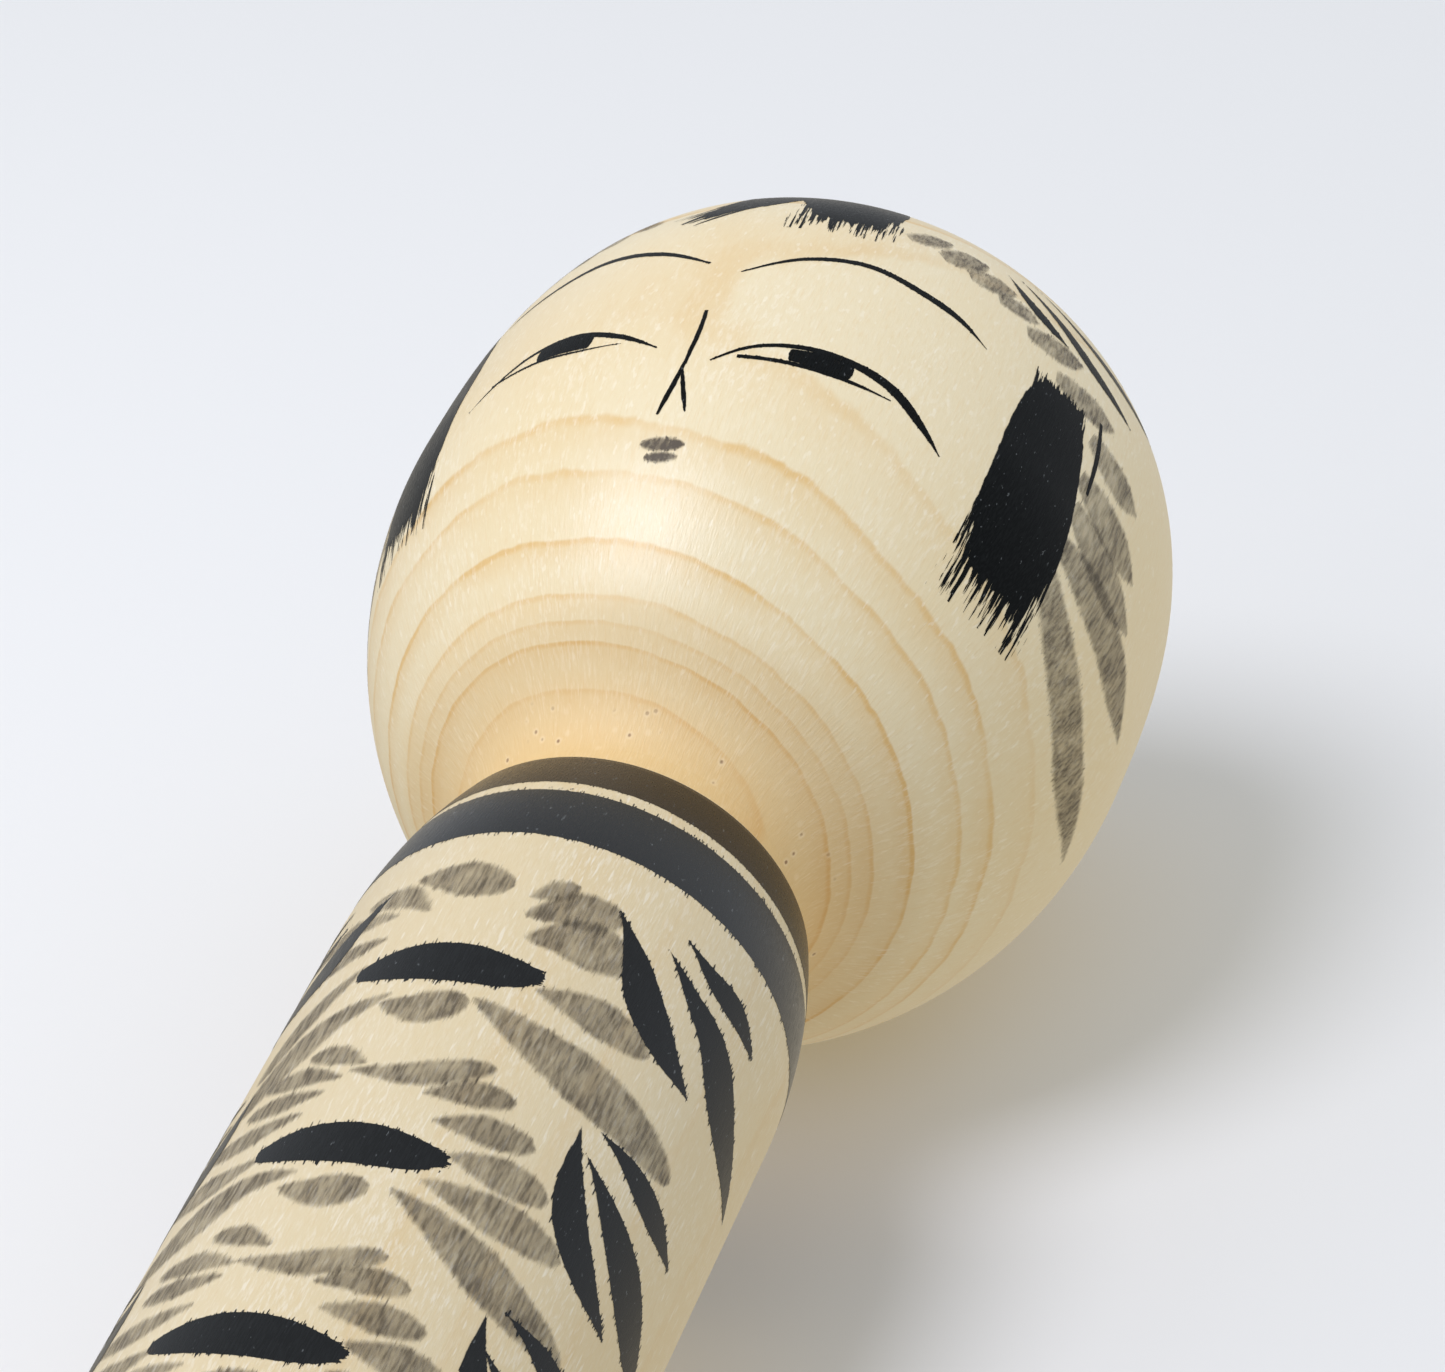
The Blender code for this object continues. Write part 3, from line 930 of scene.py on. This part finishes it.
FIRST_PETALS = [
    ([(-23, 14.2), (-12, 13.5), (-3, 12.6), (4, 12.2)], 2.3),
    ([(8.5, 11), (13, 12.4), (18.5, 14.4)], 1.2),
    ([(9.5, 8.4), (20.5, 10.9), (31.5, 12.6)], 2.3),
    ([(12, 5.2), (24, 7.0), (39, 7.4)], 2.9),
    ([(20, -1.2), (30, -1.0), (51, -0.7)], 2.2),
    ([(8, -4.6), (23.5, -7.5), (39.5, -9.1), (55.5, -9.8), (71, -10.1)], 3.0),
    ([(-14, 8.2), (-24, 11.7), (-37, 12.8)], 1.4),
    ([(-23, 8.6), (-40, 9.6), (-57, 8.3)], 1.6),
    ([(-22.5, 4.9), (-35.5, 4.4), (-49, 3.2)], 1.5),
    ([(-24, 1), (-31, -2), (-39, -6.3), (-46, -12)], 1.6),
    ([(-12, -4.6), (-26, -8), (-35, -12), (-46, -18)], 2.2),
    ([(-14, -6), (-3, -6.9), (7.5, -5)], 2.1),
]
LEAVES = [
    ([(43.8, 13), (47, 7), (53, 1.4), (61.5, -1.9), (74, -4.5)], 2.2),
    ([(47.5, 10.5), (60, 6.8), (72, 3.3), (84, -0.6), (96, -4)], 2.8),
    ([(48, 14), (59, 13.3), (68, 12.3), (84, 10.6)], 1.8),
]
FIRST_LEAVES = [
    ([(29.3, 13.5), (37.3, 8.9), (45.5, 3.9), (55, 0.9), (65, -0.8)], 2.35),
    ([(43.5, 12.6), (54, 9.7), (64.5, 7.5), (78, 2.7), (100, -1.7)], 2.75),
    ([(46.5, 15.4), (57, 13.8), (68, 13.4), (78, 12)], 1.6),
]


JITTER = (1.2, 0.4)  # how widely a mark's place is spread, in degrees and in millimetres


def paint_body(ink_material, band_material, neck_reflection_material, wash_material):
    collar = Layer(BODY, INK_LIFT)
    # the neck band's brown is a painted reflection of the head's wood
    collar.band(*NECK_BAND)
    collar.build("neck_band", "body", neck_reflection_material)
    bands = Layer(BODY, INK_LIFT)
    bands.band(*SHOULDER_BAND)
    bands.band(*FOOT_BAND)
    bands.build("body_bands", "body", band_material)

    hearts = Layer(BODY, INK_LIFT)
    petals = Layer(BODY, WASH_LIFT)
    leaves = Layer(BODY, FLOWER_LEAF_LIFT)
    for k, height in enumerate(FLOWERS):
        hearts.stroke(above(height, HEART), boat(2.35, 0.55, 0.5), blunt=(0.1, 0.35), spacing=0.4)
        for path, width in FIRST_PETALS if k == 0 else PETALS:
            petals.stroke(above(height, jitter(path, k)), petal(1.12 * width, 0.5), load=(0.95, 1.0))
        for path, width in FIRST_LEAVES if k == 0 else LEAVES:
            leaves.stroke(above(height, jitter(path, k)), leaf(width, 0.57))
            leaves.stroke(above(height, jitter(mirrored(path), k)), leaf(width, 0.57))
    petals.build("flower_petals", "body", wash_material)
    hearts.build("flower_hearts", "body", ink_material)
    leaves.build("flower_leaves", "body", ink_material)


def jitter(path, k):
    """The painter's hand: no two flowers are quite alike. The first two keep their shape."""
    if k < 2:
        return path
    shift = rng.normal(0, 1.0, 2)
    aside, up = JITTER[0] * shift[0], JITTER[1] * shift[1]
    return [(turn + aside, height + up) for turn, height in path]


# ---------------------------------------------------------------- stage, light and camera

VIEW_TURN = math.radians(29.3)  # from the face round towards +X
VIEW_FROM_FOOT = math.radians(39.1)  # from the axis, on the foot's side
VIEW_DISTANCE = 0.715
VIEW_ROLL = math.radians(27.37)
VIEW_PAN = math.radians(0.315)
VIEW_TILT = math.radians(0.367)
SENSOR = 36.0
LENS = 172.2
# Soft boxes: towards which side of the doll, how far from it and how wide in metres, how bright
KEY = {
    "towards": (-0.29, -0.94, -0.15),
    "distance": 0.9,
    "size": 0.48,
    "energy": 5.4,
    "colour": (0.77, 0.775, 0.88),
}
FILL = {
    "towards": (-0.80, -0.52, -0.30),
    "distance": 1.1,
    "size": 0.9,
    "energy": 2.1,
    "colour": (0.88, 0.86, 0.86),
}
LAMPS_AIM = (0, 0, 0.16)
SKY_STRENGTH = 0.61
SKY_COLOUR = (0.94, 0.99, 1.07)
BELOW_COLOUR = (0.93, 0.82, 0.62)  # light that comes back from the sheet on to the doll's back
BELOW_TOWARDS = (0, 1, 0)
BELOW_RANGE = (0.0, 0.7)  # cosines between which the light takes on that colour
GLOW_TOWARDS = (0.80, -0.05, 0.60)
GLOW_RANGE = (0.2, 1.0)
GLOW = 0.27
SHEET_COLOUR = (0.79, 0.785, 0.755)
SHEET_GAP = 0.1  # millimetres between the doll and the sheets it touches
SHEET_REACH = 3.0  # metres from the middle of a sheet to its edges
FLOOR_GLOW = 0.35  # what the floor shines with in place of the lamps, which leave it out
BACKDROP_COLOUR = (0.82, 0.855, 0.896)
LIE_TILT = math.asin((HEAD_RADIUS - BODY_RADIUS) / WIDEST)  # of the sheet that the doll lies on


def make_camera():
    target = Vector((0, 0, WIDEST * MM))
    away = Vector(
        (
            math.sin(VIEW_FROM_FOOT) * math.sin(VIEW_TURN),
            -math.sin(VIEW_FROM_FOOT) * math.cos(VIEW_TURN),
            -math.cos(VIEW_FROM_FOOT),
        )
    )
    right = (-away).cross(Vector((0, 0, 1))).normalized()
    up = right.cross(-away)
    look = Matrix((right, up, away)).transposed()
    look = look @ Matrix.Rotation(VIEW_ROLL, 3, "Z")
    look = look @ Matrix.Rotation(VIEW_PAN, 3, "Y") @ Matrix.Rotation(-VIEW_TILT, 3, "X")
    camera = bpy.data.cameras.new("camera")
    camera.lens = LENS
    camera.sensor_width = SENSOR
    camera.clip_start = 0.01
    obj = bpy.data.objects.new("camera", camera)
    obj.matrix_world = Matrix.Translation(target + away * VIEW_DISTANCE) @ look.to_4x4()
    bpy.context.scene.collection.objects.link(obj)
    bpy.context.scene.camera = obj


def stage_sheet(name, location, tilt, glow):
    """A flat pale sheet that shows only its front, so that it never hides the doll from behind."""
    mesh = bpy.data.meshes.new(name)
    corners = ((-1, -1), (1, -1), (1, 1), (-1, 1))
    mesh.from_pydata([(x * SHEET_REACH, y * SHEET_REACH, 0) for x, y in corners], [], [(0, 1, 2, 3)])
    obj = bpy.data.objects.new(name, mesh)
    obj.location = location
    obj.rotation_euler.x = tilt
    bpy.context.scene.collection.objects.link(obj)
    n = Surface(name)
    n.look("Base Color", SHEET_COLOUR)
    n.look("Roughness", 0.9)
    n.look("Specular IOR Level", 0.1)
    n.look("Emission Color", BACKDROP_COLOUR)
    n.look("Emission Strength", glow)
    clear = n.new("ShaderNodeBsdfTransparent")
    back = n.new("ShaderNodeNewGeometry").outputs["Backfacing"]
    output = n.tree.nodes["Material Output"]
    n.put(output.inputs["Surface"], n.either(back, n.shader.outputs[0], clear.outputs[0]))
    mesh.materials.append(n.material)
    obj.visible_shadow = False
    obj.visible_diffuse = False
    obj.visible_glossy = False
    return obj


def soft_box(name, towards, distance, size, energy, colour):
    """A round lamp in the direction `towards` from the point it shines on."""
    data = bpy.data.lights.new(name, "AREA")
    data.shape = "DISK"
    data.size = size
    data.energy = energy
    data.color = colour
    obj = bpy.data.objects.new(name, data)
    direction = Vector(towards).normalized()
    obj.location = Vector(LAMPS_AIM) + direction * distance
    obj.rotation_euler = direction.to_track_quat("Z", "Y").to_euler()
    obj.visible_camera = False
    bpy.context.scene.collection.objects.link(obj)
    return obj


def make_world():
    """Soft light from all round, with a glow on one side, and a plain pale backdrop for the camera."""
    world = bpy.data.worlds.new("studio")
    n = Nodes(world)
    towards = n.new("ShaderNodeTexCoord").outputs["Generated"]

    def nearness(direction, limits, to_low, to_high):
        dot = n.new("ShaderNodeVectorMath", operation="DOT_PRODUCT")
        n.put(dot.inputs[0], towards)
        n.put(dot.inputs[1], Vector(direction).normalized())
        return n.ramp(dot.outputs["Value"], *limits, to_low, to_high, kind="LINEAR")

    below = nearness(BELOW_TOWARDS, BELOW_RANGE, 0, 1)
    light = n.tree.nodes["Background"]
    n.put(light.inputs["Color"], n.mix(below, SKY_COLOUR, BELOW_COLOUR))
    n.put(light.inputs["Strength"], nearness(GLOW_TOWARDS, GLOW_RANGE, SKY_STRENGTH, SKY_STRENGTH + GLOW))
    backdrop = n.new("ShaderNodeBackground")
    n.put(backdrop.inputs["Color"], BACKDROP_COLOUR)
    seen = n.new("ShaderNodeLightPath").outputs["Is Camera Ray"]
    output = n.tree.nodes["World Output"]
    n.put(output.inputs["Surface"], n.either(seen, light.outputs[0], backdrop.outputs[0]))
    bpy.context.scene.world = world


def make_stage():
    """The sheet that the doll lies on, behind it here, and a floor that the lamps leave out."""
    sheet_foot = (BODY_RADIUS + SHEET_GAP) * MM / math.cos(LIE_TILT)
    stage_sheet("stage_sheet", (0, sheet_foot, 0), math.radians(90) - LIE_TILT, 0.0)
    floor = stage_sheet("stage_floor", (0, 0, -SHEET_GAP * MM), 0.0, FLOOR_GLOW)
    make_world()
    lit = bpy.data.collections.new("lit_by_lamps")
    for obj in bpy.context.scene.objects:
        if obj is not floor:
            lit.objects.link(obj)
    for lamp in (soft_box("key", **KEY), soft_box("fill", **FILL)):
        lamp.light_linking.receiver_collection = lit
    bpy.context.scene.view_settings.view_transform = "Standard"


def main():
    head_wood = wood(
        "head_wood_grain",
        pith=(-1.7, -3.0),
        rings=HEAD_RINGS,
        ring_strength=1.1,
        pit_strength=0.8,
        fleck_strength=0.27,
        dash_step=0.75,
        tint=(1.0, 1.0, 1.0),
        # the underside by the neck: end grain, with painted shade and painted warm bounce light
        end_grain_and_shade_heights=(WIDEST - 30, WIDEST - 45),
    )
    body_wood = wood(
        "body_wood_grain",
        pith=(5.0, 6.0),
        rings=BODY_RINGS,
        ring_strength=0.4,
        pit_strength=0.5,
        fleck_strength=0.55,
        dash_step=0.34,
        tint=(0.85, 0.83, 0.80),
        end_grain_and_shade_heights=(3, 0.4),
    )
    make_head().data.materials.append(head_wood)
    make_body().data.materials.append(body_wood)
    black = ink("black_ink", whisker=0.5, gloss=0.22)
    band_black = ink("band_ink", whisker=0.7, gloss=0.42)
    # The neck band is black ink, coloured brown as a painted reflection of the head's wood above it.
    neck_painted_reflection = ink("neck_ink_painted_reflection", whisker=0.3, gloss=0.3, colour=INK_BROWN_PAINTED_REFLECTION)
    face_black = ink("face_ink_black", whisker=0.12, gloss=0.05, dry=0.8, thin=0.1)
    hair_black = ink("hair_ink_black", whisker=0.2, gloss=0.05, dry=1.4)
    grey = wash("grey_wash", strength=0.47)
    mouth_grey = wash("mouth_wash", strength=0.95)
    paint_face(face_black, mouth_grey)
    paint_hair(hair_black)
    paint_crown(face_black, grey)
    paint_body(black, band_black, neck_painted_reflection, grey)
    make_stage()
    make_camera()


main()
